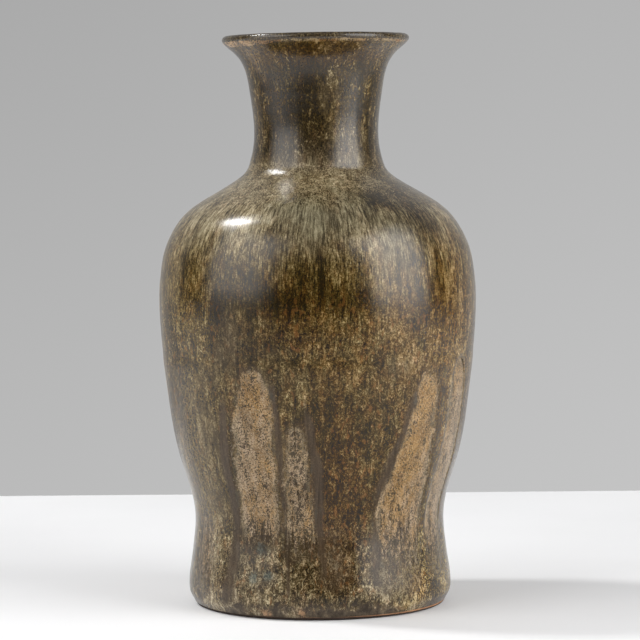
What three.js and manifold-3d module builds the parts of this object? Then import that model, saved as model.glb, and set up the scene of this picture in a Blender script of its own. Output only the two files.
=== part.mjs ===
// A baluster-shaped stoneware flower vase, thrown in three sections that are luted together with slip,
// on a luted foot ring. A thin first glaze covers its lower half. A thicker glaze, poured over from the
// mouth, ran down in fingers and left tongue-shaped windows between them. A third glaze lines the inside.
// Sizes are in millimetres. +Z is up, -Y is the front, and the origin is the centre of the resting face.

import * as THREE from 'three';
import { mergeVertices } from 'three/addons/utils/BufferGeometryUtils.js';
import Module from 'manifold-3d';

// Facets in a full turn, a multiple of four so that the outside measures the same along X and Y.
const facets = 40;
// Facets along the lip's half circle, and along each rounded corner of the section.
const lipSteps = 4;
const cornerSteps = 3;

// Outside of the fired clay, by stations: how far each rises above the station below it, and its
// radius. A spread is how much wider a station is than the waist or neck beside it, and an inset is how
// much narrower it is than the belly.
const toeRise = 2.5;
const toeSpread = 1.7;
const bulgeRise = 9.5;
const bulgeSpread = 4.6;
const waistRise = 49;
const waistRadius = 86.8;
const flankRise = 59;
const flankInset = 10.1;
const bellyRise = 97;
const bellyRadius = 111;
const turnRise = 31;
const turnInset = 3.7;
const shoulderRise = 27;
const shoulderInset = 18.7;
const rootRise = 33;
const rootSpread = 4.1;
const neckRise = 21;
const neckRadius = 43.1;
const flareRise = 49;
const flareSpread = 6.7;
const lipRise = 17;
const lipSpread = 21.4;

// Thickness of the clay wall at the waist, belly, neck and lip, and of the floor. The curl is how much
// more steeply than its own chord the flare meets the lip.
const waistWall = 8.5;
const bellyWall = 6.5;
const neckWall = 5.2;
const lipWall = 4.8;
const lipCurl = 1.4;
const floorThickness = 9;
const floorFillet = 14;

// Foot ring, with a rounded toe that stands back from the glaze above it.
const footHeight = 5;
const footWidth = 14;
const toeInset = 2.8;
const footChamfer = 1.2;

// Luted joints: a layer of slip between two bevelled edges. Each seam sits a distance above its station.
const slipThickness = 0.8;
const seamBevel = 2.5;
const bellySeamRise = 6;
const rootSeamRise = 3;

// Glazes: thickness, where each ends, and the play between a coat and what it lies on.
const firstGlaze = 0.4;
const firstGlazeHeight = 180;
const pouredGlaze = 0.6;
const pouredGlazeFoot = 5;
const linerGlaze = 0.4;
const glazePlay = 0.02;

// Windows between the runs, each a tongue that is arched above and closed below by the pooled glaze.
// Azimuth is in degrees from the front, counted towards +X; sill and crown are the heights of the
// tongue's ends; base and top are its half widths there; lean is how far its crown stands to the right.
const windows = [
  { azimuth: -62, sill: 14, crown: 66, base: 11, top: 7, lean: -3 },
  { azimuth: -27, sill: 56, crown: 172, base: 12.5, top: 16.5, lean: 5 },
  { azimuth: -8.5, sill: 50, crown: 134, base: 9, top: 7.5, lean: -1 },
  { azimuth: 5.5, sill: 24, crown: 58, base: 5.5, top: 4, lean: -2 },
  { azimuth: 38.5, sill: 18, crown: 168, base: 17, top: 12, lean: 10 },
  { azimuth: 63, sill: 84, crown: 174, base: 8, top: 9, lean: 2 },
  { azimuth: 101, sill: 26, crown: 118, base: 12, top: 9, lean: -4 },
  { azimuth: 136, sill: 40, crown: 158, base: 13, top: 14, lean: 6 },
  { azimuth: 169, sill: 20, crown: 92, base: 9, top: 7, lean: 2 },
  { azimuth: 208, sill: 34, crown: 164, base: 15, top: 12, lean: -7 },
  { azimuth: 253, sill: 22, crown: 124, base: 12, top: 10, lean: 4 },
];

// Radii and heights of the stations.
const toeRadius = waistRadius + toeSpread;
const bulgeRadius = waistRadius + bulgeSpread;
const flankRadius = bellyRadius - flankInset;
const turnRadius = bellyRadius - turnInset;
const shoulderRadius = bellyRadius - shoulderInset;
const rootRadius = neckRadius + rootSpread;
const flareRadius = neckRadius + flareSpread;
const lipRadius = neckRadius + lipSpread;
const toeHeight = toeRise;
const bulgeHeight = toeHeight + bulgeRise;
const waistHeight = bulgeHeight + waistRise;
const flankHeight = waistHeight + flankRise;
const bellyHeight = flankHeight + bellyRise;
const turnHeight = bellyHeight + turnRise;
const shoulderHeight = turnHeight + shoulderRise;
const rootHeight = shoulderHeight + rootRise;
const neckHeight = rootHeight + neckRise;
const flareHeight = neckHeight + flareRise;
const lipHeight = flareHeight + lipRise;

// Station on the outline: height, radius, wall thickness, and the rows of facets up to the next one.
const stations = [
  { height: toeHeight, radius: toeRadius, wall: waistWall, rows: 2 },
  { height: bulgeHeight, radius: bulgeRadius, wall: waistWall, rows: 3 },
  { height: waistHeight, radius: waistRadius, wall: waistWall, rows: 3 },
  { height: flankHeight, radius: flankRadius, wall: bellyWall, rows: 3 },
  { height: bellyHeight, radius: bellyRadius, wall: bellyWall, rows: 2 },
  { height: turnHeight, radius: turnRadius, wall: bellyWall, rows: 2 },
  { height: shoulderHeight, radius: shoulderRadius, wall: bellyWall, rows: 3 },
  { height: rootHeight, radius: rootRadius, wall: neckWall, rows: 2 },
  { height: neckHeight, radius: neckRadius, wall: neckWall, rows: 3 },
  { height: flareHeight, radius: flareRadius, wall: neckWall, rows: 3 },
  { height: lipHeight, radius: lipRadius, wall: lipWall, rows: 0 },
];

const bellySeam = bellyHeight + bellySeamRise;
const rootSeam = rootHeight + rootSeamRise;
const floorHeight = footHeight + slipThickness + floorThickness;

// Slopes for a curve that never overshoots its stations: level where the radius turns, elsewhere a
// weighted harmonic mean of the chords on either side.
function stationSlopes() {
  const chords = stations.slice(1).map((next, i) => {
    const here = stations[i];
    return (next.radius - here.radius) / (next.height - here.height);
  });
  return stations.map((station, i) => {
    if (i === 0) return chords[0];
    if (i === stations.length - 1) return lipCurl * chords[i - 1];
    const below = chords[i - 1];
    const above = chords[i];
    if (below * above <= 0) return 0;
    const risenBelow = station.height - stations[i - 1].height;
    const risenAbove = stations[i + 1].height - station.height;
    const weightBelow = 2 * risenAbove + risenBelow;
    const weightAbove = risenAbove + 2 * risenBelow;
    return (weightBelow + weightAbove) / (weightBelow / below + weightAbove / above);
  });
}

const slopes = stationSlopes();

// Radius, slope and wall thickness of the clay at a height.
function outlineAt(height) {
  const last = stations.length - 2;
  const found = stations.findIndex((station, i) => i <= last && height < stations[i + 1].height);
  const i = found < 0 ? last : found;
  const low = stations[i];
  const high = stations[i + 1];
  const span = high.height - low.height;
  const t = (height - low.height) / span;
  const rise = high.radius - low.radius;
  const startSlope = slopes[i] * span;
  const endSlope = slopes[i + 1] * span;
  const square = 3 * rise - 2 * startSlope - endSlope;
  const cube = startSlope + endSlope - 2 * rise;
  return {
    radius: low.radius + t * (startSlope + t * (square + t * cube)),
    slope: (startSlope + t * (2 * square + 3 * t * cube)) / span,
    wall: THREE.MathUtils.lerp(low.wall, high.wall, t),
  };
}

// Point a distance under the clay's outside at a height, measured square to the surface.
// A negative depth lies outside it, in the glaze.
function pointAt(height, depth = 0) {
  const { radius, slope } = outlineAt(height);
  const length = Math.hypot(1, slope);
  return new THREE.Vector2(radius - depth / length, height + (depth * slope) / length);
}

function innerPointAt(height) {
  return pointAt(height, outlineAt(height).wall);
}

// Heights of every row of facets, with a row at each joint and at each edge of the first glaze.
function rowHeights() {
  const rows = [lipHeight];
  stations.slice(0, -1).forEach((station, i) => {
    const span = stations[i + 1].height - station.height;
    for (let k = 0; k < station.rows; k += 1) rows.push(station.height + (span * k) / station.rows);
  });
  const edges = [bellySeam, rootSeam].flatMap((seam) => [seam, seam + slipThickness]);
  edges.push(footHeight, footHeight + slipThickness, pouredGlazeFoot, firstGlazeHeight);
  const apart = 1.5 * slipThickness;
  const kept = rows.filter((row) => edges.every((edge) => Math.abs(edge - row) > apart));
  return [...new Set([...kept, ...edges])].sort((a, b) => a - b);
}

const rows = rowHeights();

function rowsBetween(low, high) {
  return rows.filter((row) => row >= low && row <= high);
}

// Rows for the inside of the wall, where every third one is enough.
function innerRowsBetween(low, high) {
  const inner = rowsBetween(low, high).filter((row) => row > low && row < high);
  return [low, ...inner.filter((row, i) => i % 3 === 1), high];
}

const outerWall = (low, high) => rowsBetween(low, high).map((row) => pointAt(row));
const innerWall = (low, high) => innerRowsBetween(low, high).map((row) => innerPointAt(row));

// Rounded corner between the floor and the wall, running up from the floor.
function floorCorner(depth) {
  const wall = innerPointAt(floorHeight + floorFillet);
  return Array.from({ length: cornerSteps }, (unused, k) => {
    const angle = (k / cornerSteps) * (Math.PI / 2);
    const radius = wall.x - floorFillet * (1 - Math.sin(angle)) - depth * Math.sin(angle);
    const height = floorHeight + floorFillet * (1 - Math.cos(angle)) + depth * Math.cos(angle);
    return new THREE.Vector2(radius, height);
  });
}

// Half-round end of the wall at the lip, from the outside over the top to the inside.
function lipCap(thickness) {
  const outside = pointAt(lipHeight);
  const inside = innerPointAt(lipHeight);
  const centre = outside.clone().add(inside).divideScalar(2);
  const start = Math.atan2(outside.y - centre.y, outside.x - centre.x);
  const radius = outside.distanceTo(inside) / 2 + thickness;
  return Array.from({ length: lipSteps + 1 }, (unused, k) => {
    const angle = start + (k / lipSteps) * Math.PI;
    const arm = new THREE.Vector2(Math.cos(angle), Math.sin(angle)).multiplyScalar(radius);
    return arm.add(centre);
  });
}

function lathe(profile) {
  return new THREE.LatheGeometry(profile, facets).rotateX(Math.PI / 2);
}

// A profile that runs round its section and closes on its own first point.
function closedLathe(profile) {
  return lathe([...profile, profile[0]]);
}

const wasm = await Module();
wasm.setup();

function solidFrom(geometry) {
  const bare = geometry.clone();
  bare.deleteAttribute('normal');
  bare.deleteAttribute('uv');
  const merged = mergeVertices(bare, 1e-4);
  return new wasm.Manifold(
    new wasm.Mesh({
      numProp: 3,
      vertProperties: merged.attributes.position.array,
      triVerts: new Uint32Array(merged.index.array),
    }),
  );
}

function geometryFrom(solid) {
  const mesh = solid.getMesh();
  const geometry = new THREE.BufferGeometry();
  geometry.setAttribute('position', new THREE.BufferAttribute(mesh.vertProperties, 3));
  geometry.setIndex(new THREE.BufferAttribute(mesh.triVerts, 1));
  geometry.computeVertexNormals();
  return geometry;
}

// Foot ring: flat underneath, rounded at the toe, chamfered inside.
function footRing() {
  const toe = pointAt(toeHeight);
  const inner = toe.x - footWidth;
  const rounded = Array.from({ length: cornerSteps }, (unused, k) => {
    const angle = (k / cornerSteps) * (Math.PI / 2);
    const radius = toe.x - toeInset * (1 - Math.sin(angle));
    return new THREE.Vector2(radius, toeHeight * (1 - Math.cos(angle)));
  });
  return closedLathe([
    new THREE.Vector2(inner + footChamfer, 0),
    ...rounded,
    ...outerWall(toeHeight, footHeight),
    new THREE.Vector2(inner, footHeight),
    new THREE.Vector2(inner, footChamfer),
  ]);
}

function footSeam() {
  const inner = pointAt(toeHeight).x - footWidth;
  return closedLathe([
    new THREE.Vector2(inner, footHeight),
    ...outerWall(footHeight, footHeight + slipThickness),
    new THREE.Vector2(inner, footHeight + slipThickness),
  ]);
}

// Lower section, from its floor to the belly.
function lowerBody() {
  const underside = footHeight + slipThickness;
  return lathe([
    new THREE.Vector2(0, underside),
    new THREE.Vector2(pointAt(toeHeight).x - footWidth, underside),
    ...outerWall(underside, bellySeam),
    ...innerWall(floorHeight + floorFillet, bellySeam - seamBevel).reverse(),
    ...floorCorner(0).reverse(),
    new THREE.Vector2(0, floorHeight),
  ]);
}

// A bevelled layer of slip between two sections of the wall.
function wallSeam(seam) {
  return closedLathe([
    pointAt(seam),
    pointAt(seam + slipThickness),
    innerPointAt(seam + slipThickness - seamBevel),
    innerPointAt(seam - seamBevel),
  ]);
}

// Upper section, from the belly over the shoulder to the root of the neck.
function upperBody() {
  const low = bellySeam + slipThickness;
  return closedLathe([
    ...outerWall(low, rootSeam),
    ...innerWall(low - seamBevel, rootSeam - seamBevel).reverse(),
  ]);
}

function neck() {
  const low = rootSeam + slipThickness;
  return closedLathe([
    ...outerWall(low, lipHeight).slice(0, -1),
    ...lipCap(0),
    ...innerWall(low - seamBevel, lipHeight).reverse().slice(1),
  ]);
}

// First glaze, on the lower half, with a feathered edge at the toe and at the top.
function firstCoat() {
  const covered = rowsBetween(toeHeight, firstGlazeHeight);
  const inner = covered.map((row) => pointAt(row, -glazePlay));
  const outer = covered.slice(1, -1).map((row) => pointAt(row, -glazePlay - firstGlaze));
  return closedLathe([inner[0], ...outer, ...inner.slice(1).reverse()]);
}

// Clearance from the clay to the underside of the poured glaze, which lies on the first glaze lower down.
function pouredBed(row) {
  if (row > firstGlazeHeight) return glazePlay;
  return row === firstGlazeHeight ? 2 * glazePlay : 2 * glazePlay + firstGlaze;
}

// Poured glaze before its windows open. It turns over the lip and feathers out in the mouth.
function pouredShell() {
  const covered = rowsBetween(pouredGlazeFoot, lipHeight).slice(0, -1);
  return closedLathe([
    ...covered.map((row) => pointAt(row, -pouredBed(row) - pouredGlaze)),
    ...lipCap(glazePlay + pouredGlaze).slice(0, -1),
    ...lipCap(glazePlay).reverse(),
    ...covered.reverse().map((row) => pointAt(row, -pouredBed(row))),
  ]);
}

// Cutter for one window: its outline, pushed out through the wall at its azimuth.
function windowCutter({ azimuth, sill, crown, base, top, lean }) {
  const corner = base / 2;
  const archRise = 2 * top;
  const archFoot = crown - archRise;
  const outline = new THREE.Shape()
    .moveTo(-base, sill + corner)
    .quadraticCurveTo(-base, sill, corner - base, sill)
    .lineTo(base - corner, sill)
    .quadraticCurveTo(base, sill, base, sill + corner)
    .lineTo(lean + top, archFoot)
    .absellipse(lean, archFoot, top, archRise, 0, Math.PI, false);
  const cutter = new THREE.ExtrudeGeometry(outline, {
    depth: bellyRadius,
    bevelEnabled: false,
    curveSegments: 4,
  });
  return cutter
    .rotateX(Math.PI / 2)
    .translate(0, -neckRadius, 0)
    .rotateZ(THREE.MathUtils.degToRad(azimuth));
}

function pouredCoat() {
  const cutters = windows.map((window) => solidFrom(windowCutter(window)));
  const cut = cutters.reduce((shell, cutter) => shell.subtract(cutter), solidFrom(pouredShell()));
  return geometryFrom(cut);
}

// Rows of the inside of the wall, through all three sections.
function liningRows() {
  const bellyJoint = bellySeam - seamBevel;
  const rootJoint = rootSeam - seamBevel;
  return [
    ...innerRowsBetween(floorHeight + floorFillet, bellyJoint),
    ...innerRowsBetween(bellyJoint + slipThickness, rootJoint),
    ...innerRowsBetween(rootJoint + slipThickness, lipHeight),
  ];
}

// Glaze on the inside, from the middle of the floor up to a feathered edge in the mouth.
function linerCoat() {
  const covered = liningRows();
  const coatAt = (depth) => covered.map((row) => pointAt(row, outlineAt(row).wall + depth));
  const crown = glazePlay + linerGlaze;
  return lathe([
    new THREE.Vector2(0, floorHeight + glazePlay),
    ...floorCorner(glazePlay),
    ...coatAt(glazePlay),
    ...coatAt(crown).slice(0, -1).reverse(),
    ...floorCorner(crown).reverse(),
    new THREE.Vector2(0, floorHeight + crown),
  ]);
}

const bareClay = new THREE.MeshStandardMaterial({ color: 0xa5673c, roughness: 0.85, metalness: 0 });
const bodyClay = new THREE.MeshStandardMaterial({ color: 0x9a7d62, roughness: 0.9, metalness: 0 });
const firedSlip = new THREE.MeshStandardMaterial({ color: 0x7f6650, roughness: 0.9, metalness: 0 });
const tanGlaze = new THREE.MeshStandardMaterial({ color: 0xa08055, roughness: 0.5, metalness: 0 });
const brownGlaze = new THREE.MeshStandardMaterial({ color: 0x54452e, roughness: 0.25, metalness: 0 });
const darkGlaze = new THREE.MeshStandardMaterial({ color: 0x3a2f22, roughness: 0.3, metalness: 0 });

const vase = new THREE.Group();

function add(name, geometry, material) {
  const mesh = new THREE.Mesh(geometry, material);
  mesh.name = name;
  vase.add(mesh);
}

add('foot_ring', footRing(), bareClay);
add('foot_seam', footSeam(), firedSlip);
add('lower_body', lowerBody(), bodyClay);
add('belly_seam', wallSeam(bellySeam), firedSlip);
add('upper_body', upperBody(), bodyClay);
add('neck_seam', wallSeam(rootSeam), firedSlip);
add('neck', neck(), bodyClay);
add('first_glaze', firstCoat(), tanGlaze);
add('poured_glaze', pouredCoat(), brownGlaze);
add('liner_glaze', linerCoat(), darkGlaze);

export default vase;
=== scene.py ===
"""A baluster-shaped stoneware vase with running iron glazes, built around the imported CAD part.

Each turned CAD piece is stood for by a smooth one of the same section. The poured glaze is a closed coat
of its own thickness over the clay, open in tongue-shaped windows where the first glaze shows.

The vase is worked out in millimetres, and the studio is in metres. Azimuths run from the front towards +X,
in degrees in the tables and in radians in the functions.
"""

import math
from functools import reduce
from types import SimpleNamespace

import bmesh
import bpy
import numpy as np
from mathutils import Matrix, Vector, noise


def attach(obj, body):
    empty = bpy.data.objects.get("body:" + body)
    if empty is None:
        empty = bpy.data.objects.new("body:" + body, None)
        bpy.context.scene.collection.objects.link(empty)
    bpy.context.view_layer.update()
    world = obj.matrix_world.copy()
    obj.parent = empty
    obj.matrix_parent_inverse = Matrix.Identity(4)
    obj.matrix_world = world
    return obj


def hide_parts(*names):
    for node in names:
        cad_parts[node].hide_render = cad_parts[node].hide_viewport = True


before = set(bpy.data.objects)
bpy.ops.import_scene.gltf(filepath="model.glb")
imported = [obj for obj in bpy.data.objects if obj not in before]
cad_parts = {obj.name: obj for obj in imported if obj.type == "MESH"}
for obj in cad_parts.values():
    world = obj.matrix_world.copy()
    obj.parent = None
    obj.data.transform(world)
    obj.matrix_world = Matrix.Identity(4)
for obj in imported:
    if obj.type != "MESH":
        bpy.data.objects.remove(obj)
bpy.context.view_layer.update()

MM = 0.001

# The clay pieces from the foot up, each with its slot.
CLAY = {
    "foot_ring": "bare_clay",
    "foot_seam": "fired_slip",
    "lower_body": "body_clay",
    "belly_seam": "fired_slip",
    "upper_body": "body_clay",
    "neck_seam": "fired_slip",
    "neck": "body_clay",
}

# Facets round a turned piece and round the two outer coats, and the poured coat's rows.
TURN_SIDES = 192
COAT_SIDES = 288
BODY_ROWS = 150
RIM_ROWS = 21
MOUTH_ROWS = 7

# The longest step and the largest turn along a smooth section, and the turn that is kept as a corner.
LONGEST_STEP = 3.0
LARGEST_TURN = math.radians(9)
CORNER = math.radians(50)

# A level step of a section that is longer than this stays flat, such as the floor.
LONGEST_CURVED = 40

# Points of a section that are closer together than this are one, and one this near the axis is on it. A
# point where the line turns by less than this, in radians, is left out.
SAME_POINT = 0.05
ON_AXIS = 0.001
STRAIGHT = 0.001

# Points on the clay's outline from which places along it are read, and how many lie inside the mouth.
OUTLINE_POINTS = 6000
MOUTH_CORNERS = 4

# Faces that meet at more than this show an edge.
SHARP = math.radians(40)

# Coats: play over the clay, thickness, and where each begins and ends.
PLAY = 0.02
FIRST_THICKNESS = 0.4
FIRST_TOP = 180
POURED_THICKNESS = 0.6
FOOT_LINE = 2.5
MOUTH_REACH = 14
LINER_THICKNESS = 0.42

# The poured coat's thickness: its streaks, its throwing rings and their spacing, the bead above the foot,
# the swelling beside a window, how much it thins at the lip, the widths of a rolled and a soft edge, and how
# many times steeper the foot's edge is.
STREAK_THICKNESS = 0.16
RING_THICKNESS = 0.03
RING_SPACING = 9.5
BEAD = dict(height=7, spread=5, thickness=0.45)
SWELLING = dict(distance=4.5, spread=3, share=0.16)
LIP_THINNING = 0.2
ROLLED_WIDTH = 2.6
SOFT_WIDTH = 14
FOOT_STEEPNESS = 1.6

# Height of the lip's arris, where the glaze breaks to a cream line.
LIP_LINE = 394.5

# How far the rim leans down to the left, as a slope, and the heights over which the lean sets in.
RIM_SLOPE = 0.0086
LEANING = (300, 395)

# Share by which the neck's root is pinched on its left, at a height and over a spread.
PINCH = 0.022
PINCH_HEIGHT = 291
PINCH_SPREAD = 13

# Radii at which the glaze's noise is laid round the body and the neck, and the heights between.
BODY_RADIUS = 105
NECK_RADIUS = 58
BODY_TO_NECK = (280, 312)

# Farther than this from a window, the distance to it isn't worked out.
FARTHEST = 40.0

# Heights over which parts of the vase take over in the glaze's looks, from none to all.
LOWER_HALF = (250, 190)
BASE = (78, 40)
BELLY_BOTTOM = (150, 200)
BELLY_TOP = (275, 235)
SHOULDER_BOTTOM = (235, 275)
SHOULDER_TOP = (325, 300)
NECK = (303, 325)

# Height of the bumps in the glaze and in the clay, in metres.
GLAZE_RELIEF = 0.00009
CLAY_RELIEF = 0.0001

# Windows between the runs: azimuth, heights of the two ends, half widths at the bottom, middle and top,
# how far the top stands to the right of the bottom, the height over which the bottom dissolves, and how
# much glaze still veils the rest.
WINDOWS = [
    dict(azimuth=-62, sill=14, crown=66, base=11, middle=9, top=7, lean=-3, fade=40, veil=0.6),
    dict(azimuth=-28, sill=46, crown=172, base=12.5, middle=15, top=14, lean=6, fade=35, veil=0.0),
    dict(azimuth=-8.5, sill=42, crown=134, base=10.5, middle=9.5, top=6.5, lean=-1, fade=40, veil=0.45),
    dict(azimuth=5.5, sill=24, crown=58, base=5.5, middle=5, top=4, lean=-2, fade=50, veil=0.9),
    dict(azimuth=37.2, sill=14, crown=168, base=17, middle=19.5, top=10, lean=13.5, fade=90, veil=0.0),
    dict(azimuth=64, sill=24, crown=176, base=10, middle=11, top=11, lean=2, fade=60, veil=0.2),
    dict(azimuth=101, sill=26, crown=118, base=12, middle=11, top=9, lean=-4, fade=40, veil=0.2),
    dict(azimuth=136, sill=40, crown=158, base=13, middle=12, top=12, lean=6, fade=40, veil=0.0),
    dict(azimuth=169, sill=20, crown=92, base=9, middle=8, top=7, lean=2, fade=30, veil=0.5),
    dict(azimuth=208, sill=34, crown=164, base=15, middle=15, top=11, lean=-7, fade=40, veil=0.1),
    dict(azimuth=253, sill=22, crown=124, base=12, middle=12, top=10, lean=4, fade=40, veil=0.3),
]

# Smooth dark runs that divide the windows: strength, then azimuth, height and half width from the top down.
RUNS = [
    (1.0, [(-18, 165, 3), (-15, 130, 3.4), (-15, 70, 2.6), (-14, 10, 1.0)]),
    (1.0, [(-5, 146, 3.6), (-1, 110, 4.8), (0.5, 60, 5.2), (2, 20, 1.2)]),
    (0.85, [(39, 160, 4), (36, 137, 5.5), (31, 115, 5.5), (27, 85, 5), (25, 24, 4)]),
    (0.95, [(-38, 150, 4), (-39, 110, 4), (-40, 60, 4.6), (-44, 2, 7.5)]),
    (0.5, [(54, 150, 1.6), (52, 100, 2), (53, 20, 1.4)]),
    (0.8, [(120, 130, 3), (118, 80, 5), (121, 16, 4)]),
    (0.8, [(154, 140, 4), (152, 80, 3), (151, 16, 1)]),
    (0.8, [(190, 150, 3), (188, 80, 5), (186, 16, 6)]),
    (0.8, [(232, 150, 5), (230, 80, 4), (233, 16, 2)]),
]

# How light, warm and filmed the poured glaze is by height: heights, then values from 0 to 1.
LEVEL_BY_HEIGHT = (
    [0, 15, 60, 120, 200, 235, 255, 275, 295, 308, 320, 345, 378, 392],
    [0.38, 0.37, 0.33, 0.32, 0.38, 0.43, 0.51, 0.59, 0.62, 0.51, 0.26, 0.2, 0.25, 0.35],
)
WARM_BY_HEIGHT = ([0, 60, 150, 230, 270, 300, 330, 400], [0.35, 0.42, 0.42, 0.36, 0.2, 0.2, 0.25, 0.3])
FILM_BY_HEIGHT = ([0, 8, 20, 120, 200, 260, 300, 320, 400], [0.5, 0.35, 0.1, 0.05, 0.1, 0.1, 0.1, 0.2, 0.3])

# Places that differ from the rest, from the lip down: azimuth, height, half width, half height, how much.
LIGHTER = [
    (-50, 382, 16, 12, 0.12),
    (16, 345, 6, 30, 0.16),
    (-62, 345, 6, 40, 0.07),
    (-5, 337, 14, 45, -0.06),
    (40, 325, 8, 20, 0.1),
    (24, 300, 40, 8, 0.1),
    (50, 300, 25, 14, -0.14),
    (50, 290, 34, 16, -0.12),
    (29, 285, 12, 6, -0.3),
    (15, 282, 34, 14, -0.05),
    (48, 270, 20, 14, -0.18),
    (-45, 265, 40, 16, 0.1),
    (8, 262, 34, 20, -0.02),
    (-18, 256, 14, 8, -0.18),
    (19, 253, 16, 16, 0.12),
    (-57, 248, 5, 24, -0.25),
    (-8, 243, 22, 8, -0.1),
    (1.3, 235, 1.6, 17, -0.45),
    (56, 225, 14, 30, 0.05),
    (-18, 222, 26, 14, -0.22),
    (12, 218, 18, 10, -0.12),
    (-38, 215, 9, 20, -0.2),
    (42, 214, 20, 16, -0.12),
    (62, 200, 16, 50, 0.05),
    (30, 185, 30, 20, 0.08),
    (30, 172, 12, 8, 0.06),
    (64, 110, 12, 60, 0.2),
    (-54, 105, 22, 60, 0.13),
    (16, 105, 18, 45, -0.04),
    (5, 90, 16, 34, -0.08),
    (17, 66, 8, 18, -0.1),
    (-30, 56, 8, 7, -0.16),
    (-53, 50, 10, 22, 0.08),
    (9, 46, 8, 14, -0.1),
    (36, 36, 12, 16, 0.06),
    (-57, 36, 7, 20, 0.12),
    (-27, 30, 10, 22, 0.1),
    (9, 22, 8, 9, -0.08),
    (44, 22, 22, 12, 0.1),
    (-14, 22, 12, 9, -0.08),
    (47.5, 20, 7, 6, 0.06),
    (30, 18, 12, 5, 0.14),
    (-42, 18, 10, 10, 0.12),
    (59, 18, 6, 5, -0.25),
    (46, 7, 14, 6, 0.25),
    (-54, 6, 16, 7, 0.3),
    (-30, 5, 9, 5, 0.2),
    (-12, 5, 6, 5, 0.2),
]
WARMER = [
    (14, 387, 40, 7, 0.6),
    (-50, 382, 16, 12, 0.4),
    (-45, 350, 14, 30, 0.2),
    (0, 275, 25, 16, -0.15),
    (60, 200, 45, 60, 0.5),
    (10, 175, 50, 30, 0.2),
    (-15, 170, 20, 20, -0.2),
    (-26, 155, 16, 16, 0.4),
    (-50, 120, 30, 80, -0.3),
    (66, 120, 12, 60, -0.5),
    (38, 110, 18, 50, 0.4),
    (-8.5, 95, 6, 45, -0.5),
    (5, 85, 20, 40, 0.4),
    (8, 44, 9, 16, 0.5),
    (30, 24, 10, 10, -0.3),
    (47.5, 19, 8, 7, 1.0),
]
FILMED = [
    (2, 270, 34, 22, 0.7),
    (-48, 255, 26, 26, 0.35),
    (36, 255, 22, 24, 0.35),
    (-30, 205, 18, 18, 0.35),
    (-32, 178, 26, 20, 0.5),
    (30, 172, 12, 8, 0.4),
    (-54, 110, 26, 60, 0.5),
    (25.7, 42, 5, 18, 0.5),
    (48, 26, 18, 16, -0.3),
    (30, 18, 12, 5, 0.4),
]
RUSTY = [
    (10, 387, 36, 7, 1.1),
    (55, 210, 20, 30, 0.5),
    (30, 205, 40, 25, 0.5),
    (-10, 205, 14, 20, 0.6),
    (-38, 110, 3, 40, 0.6),
    (-12, 100, 3, 40, 0.7),
    (8, 85, 18, 40, 0.9),
    (-27, 48, 7, 5, -0.7),
    (8, 44, 9, 14, 0.8),
    (-23, 30, 5, 5, -0.9),
    (-30, 28, 4, 5, -0.9),
    (-8, 6, 4, 5, 0.9),
    (-24, 5, 5, 4, 0.9),
]


def smoothstep(low, high, x):
    t = np.clip((x - low) / (high - low), 0, 1)
    return t * t * (3 - 2 * t)


def hump(x, middle, spread):
    """Soft hump, 1 in the middle."""
    return np.exp(-(((x - middle) / spread) ** 2))


def field(points, sizes, seed):
    """Smooth noise from -1 to 1 over an array of points, with its own feature size along each axis."""
    scaled = points.reshape(-1, 3) / np.array(sizes, float) + seed * 17.3
    values = [noise.noise(Vector(p)) for p in scaled]
    return np.array(values).reshape(points.shape[:-1])


# Sections of the CAD pieces.


def section(node):
    """Right half of a turned node's section as ordered (radius, height) points, and whether it is closed."""
    bm = bmesh.new()
    bm.from_mesh(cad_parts[node].data)
    bmesh.ops.remove_doubles(bm, verts=bm.verts, dist=1e-6)
    # The second cut is turned a hair from the XZ plane, so that it doesn't run along a facet's edge.
    for normal, halved in (((1, 0, 0), True), ((1e-4, 1, 0), False)):
        whole = bm.verts[:] + bm.edges[:] + bm.faces[:]
        cut = bmesh.ops.bisect_plane(bm, geom=whole, plane_co=(0, 0, 0), plane_no=normal, clear_inner=halved)
    links = {}
    for edge in cut["geom_cut"]:
        if isinstance(edge, bmesh.types.BMEdge):
            a, b = ((round(v.co.x / MM, 4), round(v.co.z / MM, 4)) for v in edge.verts)
            if a != b:
                links.setdefault(a, []).append(b)
                links.setdefault(b, []).append(a)
    bm.free()
    ends = [p for p in links if len(links[p]) == 1]
    chain = [ends[0] if ends else next(iter(links))]
    while True:
        onward = [p for p in links[chain[-1]] if p not in chain]
        if not onward:
            break
        chain.append(onward[0])
    return straightened(np.array(chain), closed=not ends), not ends


def turns(points):
    """How far the line turns at each point of a closed loop."""
    first = points - np.roll(points, 1, axis=0)
    second = np.roll(points, -1, axis=0) - points
    cross = first[:, 0] * second[:, 1] - first[:, 1] * second[:, 0]
    return np.abs(np.arctan2(cross, (first * second).sum(axis=1)))


def straightened(points, closed):
    """The points without those that repeat the one before or lie on a straight line between neighbours."""
    gaps = np.hypot(*(points - np.roll(points, 1, axis=0)).T)
    if not closed:
        gaps[0] = math.inf
    points = points[gaps > SAME_POINT]
    kept = np.sin(turns(points)) > STRAIGHT
    if not closed:
        kept[[0, -1]] = True
    return points[kept]


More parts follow.
